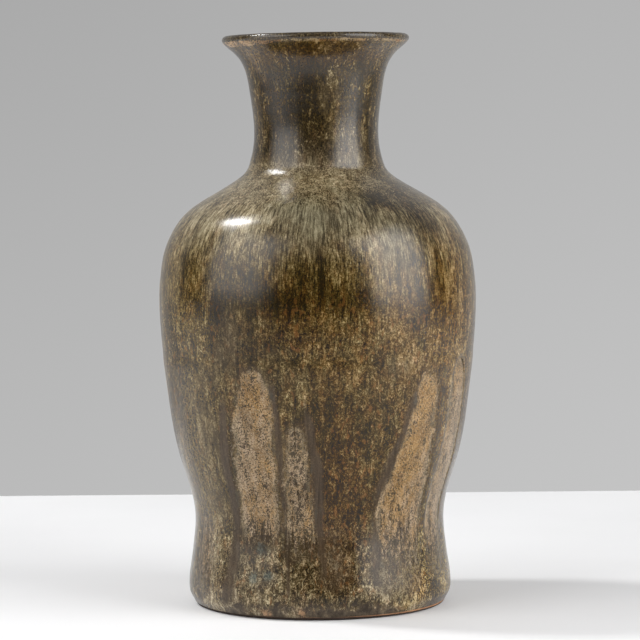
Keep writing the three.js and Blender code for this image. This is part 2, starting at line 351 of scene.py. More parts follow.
def spline(points):
    """Natural cubic spline through the points, as a function of the distance along their chords."""
    knots = np.concatenate([[0], np.cumsum(np.hypot(*np.diff(points, axis=0).T))])
    spans = np.diff(knots)
    slopes = np.diff(points, axis=0) / spans[:, None]
    count = len(points)
    matrix = np.eye(count)
    goal = np.zeros((count, 2))
    for i in range(1, count - 1):
        matrix[i, i - 1 : i + 2] = spans[i - 1], 2 * (spans[i - 1] + spans[i]), spans[i]
        goal[i] = 6 * (slopes[i] - slopes[i - 1])
    bends = np.linalg.solve(matrix, goal)

    def at(distance):
        d = np.clip(distance, 0, knots[-1])
        i = np.clip(np.searchsorted(knots, d, side="right") - 1, 0, count - 2)
        h = spans[i][:, None]
        a = (knots[i + 1] - d)[:, None] / h
        b = 1 - a
        curved = ((a**3 - a) * bends[i] + (b**3 - b) * bends[i + 1]) * h**2 / 6
        return a * points[i] + b * points[i + 1] + curved

    return at, knots


def smoothed(points):
    """A finer run of points on the spline through the given ones, its ends included."""
    if len(points) == 2:
        steps = max(1, math.ceil(np.hypot(*(points[1] - points[0])) / LONGEST_STEP))
        return points[0] + np.linspace(0, 1, steps + 1)[:, None] * (points[1] - points[0])
    along, rise = np.abs(np.diff(points, axis=0)).T
    flat = np.flatnonzero((along > LONGEST_CURVED) & (rise < SAME_POINT))
    if len(flat):
        k = flat[0]
        parts = [points[: k + 1], points[k : k + 2], points[k + 1 :]]
        return np.vstack([smoothed(part)[:-1] for part in parts if len(part) > 1] + [points[-1:]])
    at, knots = spline(points)
    bends = turns(points)
    bends[[0, -1]] = bends[[1, -2]]
    distances = []
    for i, span in enumerate(np.diff(knots)):
        bend = (bends[i] + bends[i + 1]) / 2
        steps = max(1, math.ceil(span / LONGEST_STEP), math.ceil(bend / LARGEST_TURN))
        distances.extend(knots[i] + span * np.arange(steps) / steps)
    return at(np.array(distances + [knots[-1]]))


def smooth_section(node):
    """The node's section with its curves made smooth and its corners kept, and whether it is closed."""
    points, closed = section(node)
    if closed:
        corners = np.flatnonzero(turns(points) > CORNER)
        points = np.roll(points, -corners[0], axis=0)
        points = np.vstack([points, points[:1]])
        corners = [*(corners - corners[0]), len(points) - 1]
    else:
        inner = np.flatnonzero(turns(points)[1:-1] > CORNER) + 1
        corners = [0, *inner, len(points) - 1]
    runs = [smoothed(points[a : b + 1])[:-1] for a, b in zip(corners, corners[1:])]
    finer = np.vstack(runs + ([] if closed else [points[-1:]]))
    finer[:, 1] = np.maximum(finer[:, 1], 0)
    return finer, closed


def reach(loop, height):
    """Largest radius of a section at a height, or 0 where it doesn't reach that height."""
    after = np.roll(loop, -1, axis=0)
    low = np.minimum(loop[:, 1], after[:, 1])
    high = np.maximum(loop[:, 1], after[:, 1])
    found = (low <= height) & (height <= high) & (high - low > 1e-6)
    if not found.any():
        return 0
    a, b = loop[found], after[found]
    share = (height - a[:, 1]) / (b[:, 1] - a[:, 1])
    return float((a[:, 0] + share * (b[:, 0] - a[:, 0])).max())


def behind_liner(profile):
    """The clay's section with its inner wall kept behind the liner glaze."""
    liner, _ = smooth_section("liner_glaze")
    for point in profile:
        lined = reach(liner, point[1])
        if lined > 0:
            point[0] = max(point[0], lined + PLAY)
    return profile


# The clay's outside, from the foot over the lip and down into the mouth.


def clay_outline():
    """Ordered points of the clay's outside, which is the farthest section at each height."""
    loops = [section(node)[0] for node in CLAY]
    walls = {}
    for radius, height in np.vstack(loops):
        key = round(height, 2)
        walls[key] = max(walls.get(key, 0), radius)
    outside = []
    for height, radius in sorted(walls.items()):
        if radius > max(reach(loop, height) for loop in loops) - SAME_POINT:
            outside.append((radius, height))
    neck = loops[-1]
    top = int(np.argmax(neck[:, 1]))
    step = 1 if neck[(top + 1) % len(neck), 0] < neck[top, 0] else -1
    inside = [tuple(neck[(top + step * k) % len(neck)]) for k in range(1, MOUTH_CORNERS + 1)]
    line = [p for p in outside if p[1] < neck[top, 1]] + [tuple(neck[top])] + inside
    apart = [math.dist(a, b) > SAME_POINT for a, b in zip(line, line[1:])]
    return np.array([p for p, kept in zip(line, [True, *apart]) if kept])


class Outline:
    """The clay's outside by distance along it, with its normals, and heights turned back into distances."""

    def __init__(self):
        at, knots = spline(clay_outline())
        self.points = at(np.linspace(0, knots[-1], OUTLINE_POINTS))
        steps = np.hypot(*np.diff(self.points, axis=0).T)
        self.distances = np.concatenate([[0], np.cumsum(steps)])
        tangents = np.gradient(self.points, self.distances, axis=0)
        tangents /= np.hypot(*tangents.T)[:, None]
        self.normals = np.stack([tangents[:, 1], -tangents[:, 0]], axis=1)
        self.top = int(np.argmax(self.points[:, 1]))
        self.lip = self.distances[self.top]

    def at(self, distance):
        both = np.hstack([self.points, self.normals])
        found = [np.interp(distance, self.distances, column) for column in both.T]
        return np.stack(found[:2], axis=-1), np.stack(found[2:], axis=-1)

    def distance_at(self, height):
        up = slice(0, self.top + 1)
        return np.interp(height, self.points[up, 1], self.distances[up])


outline = Outline()


# Fields over the vase, shared by both glazes.


def flow_at(azimuth, distance):
    """Place for the glaze's noise, in mm, so that features keep their size round the body and the neck."""
    height = outline.at(distance)[0][..., 1]
    neck = smoothstep(*BODY_TO_NECK, height)
    radius = BODY_RADIUS + (NECK_RADIUS - BODY_RADIUS) * neck
    return np.stack([radius * np.cos(azimuth), radius * np.sin(azimuth), distance], axis=-1)


def tongue(window):
    """Outline of a window as (sideways, height) points, arched at the top and softly closed below."""
    sill, crown = window["sill"], window["crown"]
    arch = 2 * window["top"]
    foot = 0.8 * window["base"]
    heights = np.concatenate([
        sill + foot * (1 - np.cos(np.linspace(0, math.pi / 2, 9))),
        np.linspace(sill + foot, crown - arch, 12)[1:-1],
        crown - arch + arch * np.sin(np.linspace(0, math.pi / 2, 12)),
    ])
    share = np.clip((heights - sill) / (crown - arch - sill), 0, 1)
    width = np.interp(share, [0, 0.5, 1], [window["base"], window["middle"], window["top"]])
    low = np.clip((sill + foot - heights) / foot, 0, 1)
    high = np.clip((heights - crown + arch) / arch, 0, 1)
    width = width * np.sqrt(1 - low**2) * np.sqrt(1 - high**2)
    centre = window["lean"] * share**2
    right = np.stack([centre + width, heights], axis=1)
    left = np.stack([centre - width, heights], axis=1)
    return np.vstack([right, left[::-1]])


def signed_distance(points, loop):
    """Distance from each point to a closed loop, negative inside it."""
    after = np.roll(loop, -1, axis=0)
    along = after - loop
    away = points[:, None] - loop[None]
    length = np.maximum((along**2).sum(axis=1), 1e-9)
    share = np.clip((away * along).sum(axis=2) / length, 0, 1)
    distance = np.hypot(*np.moveaxis(away - share[..., None] * along, 2, 0)).min(axis=1)
    spans = (loop[:, 1] > points[:, 1:]) != (after[:, 1] > points[:, 1:])
    rise = np.where(np.abs(along[:, 1]) < 1e-9, 1e-9, along[:, 1])
    crossing = loop[:, 0] + (points[:, 1:] - loop[:, 1]) / rise * along[:, 0]
    inside = (spans & (points[:, :1] < crossing)).sum(axis=1) % 2 == 1
    return np.where(inside, -distance, distance)


def edge_at(azimuth, distance):
    """Distance from the nearest window's edge, negative in a window, and how far its bottom dissolves."""
    shape = azimuth.shape
    spots, _ = outline.at(distance)
    radius, height = spots[..., 0].ravel(), spots[..., 1].ravel()
    turn = azimuth.ravel()
    nearest = np.full(turn.shape, FARTHEST)
    fade = np.zeros(turn.shape)
    for window in WINDOWS:
        away = turn - math.radians(window["azimuth"])
        sideways = radius * np.sin(away)
        beside = (np.cos(away) > 0) & (np.abs(sideways) < 1.5 * FARTHEST)
        near = beside & (height < window["crown"] + FARTHEST)
        points = np.stack([sideways[near], height[near]], axis=1)
        away_from = signed_distance(points, tongue(window))
        faded = smoothstep(window["sill"] + window["fade"], window["sill"], points[:, 1])
        faded = np.maximum(faded, window["veil"])
        fade[near] = np.where(away_from < nearest[near], faded, fade[near])
        nearest[near] = np.minimum(nearest[near], away_from)
    nearest = nearest.reshape(shape)
    flow = flow_at(azimuth, distance)
    wobble = 1.6 * field(flow, (14, 14, 22), seed=1) + 0.9 * field(flow, (5, 5, 8), seed=2)
    return nearest + wobble * smoothstep(30, 6, np.abs(nearest)), fade.reshape(shape)


def patches(places, azimuth, radius, height):
    """Sum of soft spots, each given by azimuth, height, half width, half height and strength."""
    total = np.zeros(azimuth.shape)
    for centre, middle, wide, tall, strength in places:
        away = azimuth - math.radians(centre)
        sideways = radius * np.sin(away) / wide
        total += strength * np.exp(-(sideways**2 + ((height - middle) / tall) ** 2)) * (np.cos(away) > 0)
    return total


def runs_at(azimuth, radius, height, flow):
    """How far each place lies in one of the smooth dark runs, from 0 to 1."""
    strongest = np.zeros(azimuth.shape)
    wander = 2.2 * field(flow, (20, 20, 34), seed=11)
    swell = 1 + 0.5 * field(flow, (40, 40, 26), seed=12)
    for strength, stations in RUNS:
        azimuths, heights, widths = np.array(stations[::-1]).T
        centre = np.radians(np.interp(height, heights, azimuths))
        width = np.interp(height, heights, widths) * swell
        sideways = (radius * np.sin(azimuth - centre) + wander) / width
        ends = smoothstep(heights[-1] + 14, heights[-1] - 14, height)
        ends = ends * smoothstep(heights[0] - 4, heights[0] + 14, height)
        inside = np.exp(-np.abs(sideways) ** 3) * ends * strength * (np.cos(azimuth - centre) > 0)
        strongest = np.maximum(strongest, inside)
    return strongest


def looks_at(azimuth, distance):
    """How light, warm, filmed and rusty the glaze is from place to place, and where the dark runs lie."""
    spots, _ = outline.at(distance)
    radius, height = spots[..., 0], spots[..., 1]
    flow = flow_at(azimuth, distance)
    level = np.interp(height, *LEVEL_BY_HEIGHT) + patches(LIGHTER, azimuth, radius, height)
    warm = np.interp(height, *WARM_BY_HEIGHT) + patches(WARMER, azimuth, radius, height)
    film = np.interp(height, *FILM_BY_HEIGHT) + patches(FILMED, azimuth, radius, height)
    return {
        "level": level + 0.1 * field(flow, (34, 34, 60), seed=7),
        "warm": warm + 0.2 * field(flow, (25, 25, 40), seed=8),
        "film": film + 0.15 * field(flow, (22, 22, 45), seed=9),
        "rust": patches(RUSTY, azimuth, radius, height),
        "run": runs_at(azimuth, radius, height, flow),
    }


# Meshes.


def place(azimuth, spots):
    """Points in the vase's space from azimuths and (radius, height), with the thrown pot's unevenness."""
    z = spots[..., 1]
    leftward = smoothstep(0.1, 0.9, -np.sin(azimuth))
    radius = spots[..., 0] * (1 - PINCH * leftward * hump(z, PINCH_HEIGHT, PINCH_SPREAD))
    x = radius * np.sin(azimuth)
    y = -radius * np.cos(azimuth)
    return np.stack([x, y, z + RIM_SLOPE * x * smoothstep(*LEANING, z)], axis=-1)


def put(name, points, faces, node, slot, material, attributes):
    """Makes the piece that stands for a CAD node."""
    mesh = bpy.data.meshes.new(name)
    mesh.from_pydata((points * MM).tolist(), [], faces)
    for key, values in attributes.items():
        kind, store = ("FLOAT_VECTOR", "vector") if values.ndim == 2 else ("FLOAT", "value")
        attribute = mesh.attributes.new(key, kind, "POINT")
        attribute.data.foreach_set(store, np.asarray(values, np.float32).ravel())
    bm = bmesh.new()
    bm.from_mesh(mesh)
    bmesh.ops.recalc_face_normals(bm, faces=bm.faces)
    bm.to_mesh(mesh)
    bm.free()
    mesh.shade_smooth()
    mesh.set_sharp_from_angle(angle=SHARP)
    mesh.materials.append(material)
    piece = bpy.data.objects.new(name, mesh)
    bpy.context.scene.collection.objects.link(piece)
    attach(piece, "root")
    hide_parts(node)


def turned(name, node, slot, material, sides=TURN_SIDES, glazed=False):
    """A smooth piece of revolution from the node's own section."""
    profile, closed = smooth_section(node)
    if node in CLAY:
        profile = behind_liner(profile)
    azimuth = 2 * math.pi * np.arange(sides) / sides
    rings, points, faces = [], [], []
    for radius, height in profile:
        start = len(points)
        around = azimuth if radius > ON_AXIS else azimuth[:1]
        rings.append([start + k % len(around) for k in range(sides)])
        points.extend(place(around, np.tile([radius, height], (len(around), 1))))
    pairs = list(zip(rings, rings[1:] + rings[:1]))
    for low, high in pairs if closed else pairs[:-1]:
        for k in range(sides):
            j = (k + 1) % sides
            corners = list(dict.fromkeys([low[k], low[j], high[j], high[k]]))
            if len(corners) > 2:
                faces.append(corners)
    points = np.array(points)
    attributes = {}
    if glazed:
        around = np.arctan2(points[:, 0], -points[:, 1])
        along = outline.distance_at(points[:, 2])
        edge, fade = edge_at(around, along)
        flow = flow_at(around, along)
        attributes = {"edge": edge, "fade": fade, "flow": flow, **looks_at(around, along)}
    put(name, points, faces, node, slot, material, attributes)


def coat_rows():
    """Distances along the outline of the poured coat's rows, closer together over the lip."""
    rim_start, rim_end = outline.lip - 9, outline.lip + 8
    body = np.linspace(outline.distance_at(1.0), rim_start, BODY_ROWS)
    rim = np.linspace(rim_start, rim_end, RIM_ROWS)
    mouth = np.linspace(rim_end, outline.lip + MOUTH_REACH + 6, MOUTH_ROWS)
    return np.concatenate([body, rim[1:], mouth[1:]])


def coat_edge(turn, along, flow, windows):
    """Distance from the coat's edge at a window, the foot or the mouth, negative where it is bare."""
    line = FOOT_LINE + 0.4 * np.sin(turn) + 0.4 * field(flow, (18, 18, 60), seed=3)
    foot = along - outline.distance_at(line)
    mouth = outline.lip + MOUTH_REACH + 2.5 * field(flow, (16, 16, 60), seed=4) - along
    return np.minimum(np.minimum(windows, mouth), foot * FOOT_STEEPNESS)


def coat_bed(along, height):
    """How far above the clay the poured coat begins, where another glaze lies under it."""
    bed = PLAY + (PLAY + FIRST_THICKNESS) * smoothstep(FIRST_TOP, FIRST_TOP - 8, height)
    return bed + (LINER_THICKNESS + PLAY) * smoothstep(outline.lip + 1, outline.lip + 5, along)


def coat_thickness(turn, along, height, flow, edge, windows, fade):
    """Thickness of the poured coat, more in its streaks and beside the windows, and none at its edge."""
    streaks = 0.5 * field(flow, (6, 6, 110), seed=5) + 0.5 * field(flow, (13, 13, 160), seed=6)
    rings = np.sin(along / RING_SPACING * 2 * math.pi + turn) * smoothstep(20, 60, height)
    thick = POURED_THICKNESS + STREAK_THICKNESS * streaks + RING_THICKNESS * rings
    thick = thick + BEAD["thickness"] * hump(height, BEAD["height"], BEAD["spread"])
    thick = thick - LIP_THINNING * smoothstep(386, 394, height)
    rolled = np.sqrt(1 - (1 - np.clip(edge / ROLLED_WIDTH, 0, 1)) ** 2)
    tapered = smoothstep(-1, SOFT_WIDTH, edge)
    thick = thick * (rolled + (np.minimum(tapered, rolled) - rolled) * smoothstep(0, 0.5, fade))
    swollen = hump(windows, SWELLING["distance"], SWELLING["spread"])
    return np.maximum(thick * (1 + SWELLING["share"] * (1 - fade) * swollen), 0)


def closed_coat(edge, under, over, carried):
    """Points, carried values and faces of a coat between two sheets that meet where edge is 0."""
    points, values, faces = [], [], []
    index = {}

    def vertex(key, point, value):
        if key not in index:
            index[key] = len(points)
            points.append(point)
            values.append(value)
        return index[key]

    def crossing(a, b):
        """Vertex where the coat's edge crosses between two grid points, shared by its two sheets."""
        a, b = sorted((a, b))
        share = edge[a] / (edge[a] - edge[b])
        point = under[a] + share * (under[b] - under[a])
        return vertex(("cut", a, b), point, carried[a] + share * (carried[b] - carried[a]))

    rows, sides = edge.shape
    for i in range(rows - 1):
        for j in range(sides):
            k = (j + 1) % sides
            corners = [(i, j), (i, k), (i + 1, k), (i + 1, j)]
            inside = [edge[c] > 0 for c in corners]
            if not any(inside):
                continue
            for sheet, layer in (("over", over), ("under", under)):
                face = []
                for n in range(4):
                    here, there = corners[n], corners[(n + 1) % 4]
                    if inside[n]:
                        face.append(vertex((sheet, here), layer[here], carried[here]))
                    if inside[n] != inside[(n + 1) % 4]:
                        face.append(crossing(here, there))
                faces.append(face if sheet == "over" else face[::-1])
    return np.array(points), np.array(values), faces


def poured_coat(material):
    """The poured glaze, closed over its own edge at the foot, in the mouth and round each window."""
    azimuth = 2 * math.pi * np.arange(COAT_SIDES) / COAT_SIDES
    turn, along = np.meshgrid(azimuth, coat_rows())
    spots, normals = outline.at(along)
    height = spots[..., 1]
    flow = flow_at(turn, along)
    windows, fade = edge_at(turn, along)
    edge = coat_edge(turn, along, flow, windows)
    bed = coat_bed(along, height)
    thick = coat_thickness(turn, along, height, flow, edge, windows, fade)
    under = place(turn, spots + bed[..., None] * normals)
    over = place(turn, spots + (bed + thick)[..., None] * normals)
    looks = looks_at(turn, along)
    carried = np.dstack([windows, fade, flow, *looks.values()])
    points, values, faces = closed_coat(edge, under, over, carried)
    attributes = {"edge": values[:, 0], "fade": values[:, 1], "flow": values[:, 2:5]}
    attributes.update(zip(looks, values[:, 5:].T))
    put("poured_glaze_coat", points, faces, "poured_glaze", "poured_glaze", material, attributes)


# Materials.


def linear(code):
    """Linear colour from a hex code as seen on screen."""
    parts = [int(code[i : i + 2], 16) / 255 for i in (1, 3, 5)]
    return [*(p / 12.92 if p <= 0.04045 else ((p + 0.055) / 1.055) ** 2.4 for p in parts), 1.0]


class Nodes:
    """Short names for the nodes of one material."""

    def __init__(self, tree):
        self.tree = tree

    def make(self, kind, inputs, output=0, **settings):
        node = self.tree.nodes.new(kind)
        for key, value in settings.items():
            setattr(node, key, value)
        for key, value in inputs.items():
            if isinstance(value, bpy.types.NodeSocket):
                self.tree.links.new(value, node.inputs[key])
            else:
                node.inputs[key].default_value = value
        return node.outputs[output] if node.outputs else None

    def math(self, kind, a, b=0.0):
        return self.make("ShaderNodeMath", {0: a, 1: b}, operation=kind)

    def add(self, *terms):
        return reduce(lambda a, b: self.math("ADD", a, b), terms)

    def times(self, *factors):
        return reduce(lambda a, b: self.math("MULTIPLY", a, b), factors)

    def sway(self, value, size):
        """A noise moved to lie about 0, times a size."""
        return self.times(self.add(value, -0.5), size)

    def step(self, x, low, high, start=0.0, end=1.0):
        """From start at low to end at high, smoothly."""
        inputs = {0: x, 1: low, 2: high, 3: start, 4: end}
        return self.make("ShaderNodeMapRange", inputs, interpolation_type="SMOOTHSTEP")

    def vector(self, kind, a, b):
        return self.make("ShaderNodeVectorMath", {0: a, 1: b}, operation=kind)

    def part(self, vector, axis):
        return self.make("ShaderNodeSeparateXYZ", {0: vector}, axis)

    def noise(self, place, scales, detail, rough, output=0, offset=None):
        """Noise over a place, with its own scale along each axis."""
        scaled = self.vector("MULTIPLY", place, scales)
        if offset:
            scaled = self.vector("ADD", scaled, offset)
        inputs = {"Vector": scaled, "Scale": 1.0, "Detail": detail, "Roughness": rough}
        return self.make("ShaderNodeTexNoise", inputs, output)

    def ramp(self, fac, stops):
        node = self.tree.nodes.new("ShaderNodeValToRGB")
        elements = node.color_ramp.elements
        while len(elements) < len(stops):
            elements.new(0.5)
        for element, (position, code) in zip(elements, stops):
            element.position = position
            element.color = linear(code)
        self.tree.links.new(fac, node.inputs[0])
        return node.outputs[0]

    def blend(self, fac, a, b, kind="MIX"):
        """Colour a at 0 and b at 1, either of them a socket or a hex code."""
        a, b = (linear(color) if isinstance(color, str) else color for color in (a, b))
        return self.make("ShaderNodeMix", {0: fac, 6: a, 7: b}, 2, data_type="RGBA", blend_type=kind)

    def between(self, fac, a, b):
        """Number a at 0 and b at 1."""
        return self.make("ShaderNodeMix", {0: fac, 2: a, 3: b}, 0, data_type="FLOAT")

    def attribute(self, name, output):
        return self.make("ShaderNodeAttribute", {}, output, attribute_name=name)

    def object_mm(self):
        """The object's own coordinates in mm."""
        here = self.make("ShaderNodeTexCoord", {}, "Object")
        return self.vector("MULTIPLY", here, (1000, 1000, 1000))


def new_material(name):
    material = bpy.data.materials.new(name)
    material.use_nodes = True
    material.node_tree.nodes.clear()
    return material, Nodes(material.node_tree)


def surface(n, color, roughness, relief, height, ior=1.5):
    """Principled surface with bumps of a height in metres, linked to the material's output."""
    bump = n.make("ShaderNodeBump", {"Height": relief, "Distance": height})
    inputs = {"Base Color": color, "Roughness": roughness, "Normal": bump, "IOR": ior}
    shader = n.make("ShaderNodeBsdfPrincipled", inputs)
    n.make("ShaderNodeOutputMaterial", {"Surface": shader})


def glaze_grounds(n):
    """The fields, parts of the vase and noises that colour the running glaze."""
    flow = n.attribute("flow", "Vector")
    height = n.part(n.object_mm(), "Z")
    swirl = n.noise(flow, (0.2, 0.2, 0.16), 2, 0.5, "Color")
    swirl = n.vector("MULTIPLY", n.vector("ADD", swirl, (-0.5, -0.5, -0.5)), (9, 9, 9))
    curled = n.vector("ADD", flow, swirl)
    fields = "edge fade level warm film rust run".split()
    g = SimpleNamespace(
        **{key: n.attribute(key, "Fac") for key in fields},
        flow=flow,
        curled=curled,
        height=height,
        low=n.step(height, *LOWER_HALF),
        base=n.step(height, *BASE),
        belly=n.times(n.step(height, *BELLY_BOTTOM), n.step(height, *BELLY_TOP)),
        shoulder=n.times(n.step(height, *SHOULDER_BOTTOM), n.step(height, *SHOULDER_TOP)),
        neck=n.step(height, *NECK),
        rightward=n.step(n.part(flow, "Y"), 45, 75),
        leftward=n.step(n.part(flow, "Y"), -25, -45),
        frontward=n.step(n.part(flow, "X"), 62, 92),
        clouds=n.noise(flow, (0.05, 0.05, 0.03), 4, 0.6),
        patch=n.noise(flow, (0.09, 0.09, 0.06), 4, 0.65),
        clusters=n.noise(flow, (0.15, 0.15, 0.07), 4, 0.65),
        hue=n.noise(flow, (0.2, 0.2, 0.09), 3, 0.6),
        streaks=n.noise(flow, (0.38, 0.38, 0.03), 3, 0.65),
        slivers=n.noise(flow, (0.92, 0.92, 0.2), 3, 0.7),
        grain=n.noise(flow, (1.0, 1.0, 0.9), 3, 0.7),
        mottle=n.noise(curled, (0.17, 0.17, 0.15), 3, 0.6),
        curls=n.noise(curled, (0.5, 0.5, 0.33), 4, 0.75),
    )
    clouded = n.add(n.sway(g.clouds, 1.6), n.times(n.add(g.patch, -0.42), g.base, 2.2))
    g.filmed = n.step(n.add(g.film, clouded), 0.1, 0.9)
    g.ragged = n.add(n.sway(g.curls, 12), n.sway(g.clusters, 10))
    return g


def glaze_detail(n, g):
    """The finest differences of tone: slivers on the shoulder, and curls below it and on the neck."""
    curly = n.math("MAXIMUM", g.low, g.neck)
    fine = n.sway(n.between(curly, g.slivers, g.curls), n.between(g.shoulder, 1.3, 1.2))
    lines = n.noise(g.curled, (0.3, 0.3, 0.2), 2, 0.5)
    lines = n.step(n.math("ABSOLUTE", n.add(lines, -0.5)), 0.035, 0.0)
    fine = n.add(fine, n.times(lines, n.add(n.between(g.low, 0.05, 0.18), n.times(g.base, 0.07))))
    fine = n.add(fine, n.sway(g.grain, n.between(g.shoulder, 1.0, 0.7)))
    fine = n.times(fine, n.between(g.filmed, 1.0, n.between(g.base, 0.6, 0.95)))
    return n.times(fine, n.between(g.base, 1.0, n.between(g.rightward, 1.2, 1.9)))


def glaze_tone(n, g, fine):
    """Tone from the dark ground to cream crystals, with dark slits on the shoulder and belly."""
    slits = n.noise(g.flow, (0.75, 0.75, 0.08), 3, 0.65)
    slits = n.times(n.step(slits, 0.49, 0.4), n.add(n.times(g.shoulder, -0.2), n.times(g.belly, -0.13)))
    flecks = n.times(n.step(n.add(g.curls, n.sway(g.clusters, 0.8)), 0.6, 0.7), 0.18)
    flecks = n.times(flecks, n.between(g.neck, 0.25, 1.0))
    streaked = n.times(n.step(g.height, 290, 320, 0.45, 0.25), n.between(g.base, 1.0, 0.35))
    return n.add(
        g.level,
        fine,
        n.sway(g.clouds, 0.4),
        n.sway(g.streaks, streaked),
        n.times(n.sway(g.mottle, g.base), 0.9),
        n.sway(g.clusters, 0.7),
        n.times(flecks, n.step(g.level, 0.45, 0.3)),
        slits,
    )


def glaze_body(n, g, tone):
    """The tone coloured olive, brown and rusty, under a film that is grey, and greener on the shoulder."""
    olive = n.ramp(tone, [
        (0.08, "#1c1401"), (0.28, "#322504"), (0.44, "#503f1c"), (0.58, "#74623a"),
        (0.76, "#9e8c62"), (0.95, "#c6b58c"),
    ])
    brown = n.ramp(tone, [
        (0.08, "#1e1201"), (0.28, "#3a2503"), (0.44, "#5d4419"), (0.58, "#81673b"),
        (0.76, "#aa8f64"), (0.95, "#cab187"),
    ])
    grey = n.ramp(tone, [(0.1, "#221807"), (0.44, "#493c26"), (0.76, "#80725a"), (0.95, "#a89a82")])
    slate = n.ramp(tone, [(0.1, "#1e1a10"), (0.44, "#47422f"), (0.76, "#7f7a62"), (0.95, "#a8a48c")])
    warmth = n.add(g.warm, n.sway(g.hue, 2.6), n.times(g.rust, 0.5))
    body = n.blend(n.step(warmth, 0.15, 1.0), olive, brown)
    dulled = n.step(n.math("ABSOLUTE", n.add(g.height, -295)), 60, 15, 1.0, 0.8)
    dulled = n.times(dulled, n.between(g.base, 1.0, n.between(g.rightward, 0.86, 1.08)))
    body = n.make("ShaderNodeHueSaturation", {"Saturation": dulled, "Color": body})
    spots = n.noise(g.flow, (0.33, 0.33, 0.2), 2, 0.5)
    spots = n.step(n.add(spots, n.times(g.rust, 0.05)), 0.62, 0.68)
    body = n.blend(n.times(spots, n.times(g.low, 0.3)), body, "#94602f")
    return n.blend(n.times(g.filmed, 0.7), body, n.blend(g.shoulder, grey, slate))


def with_runs(n, g, body):
    """The body colour with the smooth dark runs, a dark border at the windows, and the foot's dark hem."""
    border = n.times(n.step(n.add(g.edge, g.ragged), 6.0, 1.5), 0.45)
    torn = n.sway(g.clusters, n.times(n.step(g.run, 0, 0.3), 1.6))
    soft_run = n.step(n.add(g.run, torn), 0.2, 0.9)
    silk = n.add(n.times(g.streaks, 0.6), n.times(g.grain, 0.4))
    silk = n.ramp(silk, [(0.35, "#2c2012"), (0.65, "#514231")])
    body = n.blend(n.math("MAXIMUM", border, n.times(soft_run, 0.88)), body, silk)
    uneven = n.add(n.sway(g.mottle, 22), n.sway(g.curls, 8))
    hem = n.times(n.step(n.add(g.height, uneven), 12, 7), n.step(g.level, 0.42, 0.62, 0.85, 0.2))
    body = n.blend(hem, body, n.ramp(g.mottle, [(0.35, "#30261c"), (0.65, "#5d5041")]))
    toasted = n.times(n.step(n.add(g.rust, n.sway(g.curls, 2.0)), 0.5, 0.8), n.step(g.height, 14, 9))
    return n.blend(n.times(toasted, 0.7), body, "#a9835f")


def window_color(n, g):
    """The first glaze in the windows: tan, pale or golden, with sand and dark specks."""
    pale = n.ramp(g.patch, [(0.35, "#7d674c"), (0.5, "#978064"), (0.65, "#a79076")])
    golden = n.ramp(g.patch, [(0.35, "#74542a"), (0.5, "#8d6a38"), (0.65, "#a07c49")])
    ripe = n.step(n.add(g.warm, n.sway(g.hue, 1.5)), 0.1, 0.8)
    tan = n.blend(ripe, pale, golden)
    sand = n.noise(g.flow, (1.15, 1.15, 1.05), 3, 0.65)
    tan = n.blend(n.times(n.step(sand, 0.48, 0.64), n.between(ripe, 0.5, 0.4)), tan, "#cdbd9f")
    crowd = n.add(n.sway(g.clusters, 0.3), n.step(g.edge, -6, 0, 0, 0.05))
    specks = n.noise(g.flow, (0.95, 0.95, 0.9), 3, 0.7, offset=(7.0, 3.0, 5.0))
    specks = n.step(n.math("SUBTRACT", specks, n.add(crowd, n.times(g.fade, 0.04))), 0.485, 0.405)
    blotches = n.noise(g.curled, (0.38, 0.38, 0.3), 3, 0.65)
    blotches = n.step(n.math("SUBTRACT", blotches, n.add(crowd, n.times(g.fade, 0.16))), 0.41, 0.35)
    dark = n.ramp(g.hue, [(0.4, "#2c1d08"), (0.62, "#2c2613")])
    tan = n.blend(n.math("MAXIMUM", specks, n.times(blotches, 0.9)), tan, dark)
    beside = n.add(g.edge, n.times(g.ragged, 0.5))
    brim = n.times(n.step(beside, -4.0, -2.0), n.step(g.grain, 0.4, 0.52))
    return n.blend(n.times(brim, n.between(ripe, 0.4, 0.2)), tan, "#b9a482")


def window_share(n, g):
    """Where the first glaze shows: in the windows, less where their bottoms dissolve or a veil is left."""
    opened = n.step(n.add(g.edge, g.ragged), 1.5, -1.5)
    cover = n.add(n.times(g.streaks, 0.5), n.times(g.curls, 0.5))
    return n.times(opened, n.step(n.add(cover, n.times(g.fade, -0.25)), 0.27, 0.37))


def with_pools(n, g, color):
    """The colour with blue-grey glints at the windows' edges, and pools where rust is below 0."""
    teal = n.times(n.step(g.clusters, 0.56, 0.66), n.step(n.math("ABSOLUTE", g.edge), 7, 2))
    color = n.blend(n.times(teal, 0.2), color, "#3f4a45")
    pooled = n.step(n.math("SUBTRACT", n.sway(g.curls, 2.0), g.rust), 0.35, 0.75)
    pooled = n.times(pooled, n.step(g.rust, -0.1, -0.4))
    return n.blend(n.times(pooled, 0.6), color, "#3c4b48")


def with_lip(n, g, color):
    """The colour with a broken cream line where the glaze thins at the lip, and a dark band over it."""
    arris = float(outline.distance_at(LIP_LINE))
    wavy = n.add(n.part(g.flow, "Z"), n.sway(g.patch, 2.5))
    band = n.ramp(g.grain, [(0.4, "#241d14"), (0.56, "#3d3324"), (0.7, "#8f8160")])
    color = n.blend(n.times(n.step(wavy, arris + 0.4, arris + 1.6), 0.8), color, band)
    lowered = n.add(wavy, n.times(g.leftward, 3.0))
    line = n.times(n.step(lowered, arris - 1.6, arris - 0.4), n.step(wavy, arris + 1.4, arris + 0.5))
    broken = n.step(n.add(n.times(g.grain, 0.6), n.times(g.clusters, 0.4)), 0.44, 0.56)
    crest = n.blend(n.step(g.patch, 0.45, 0.6), "#9a8460", "#8a6238")
    crest = n.blend(n.times(g.leftward, 0.7), crest, "#c09a72")
    return n.blend(n.times(line, broken), color, crest)


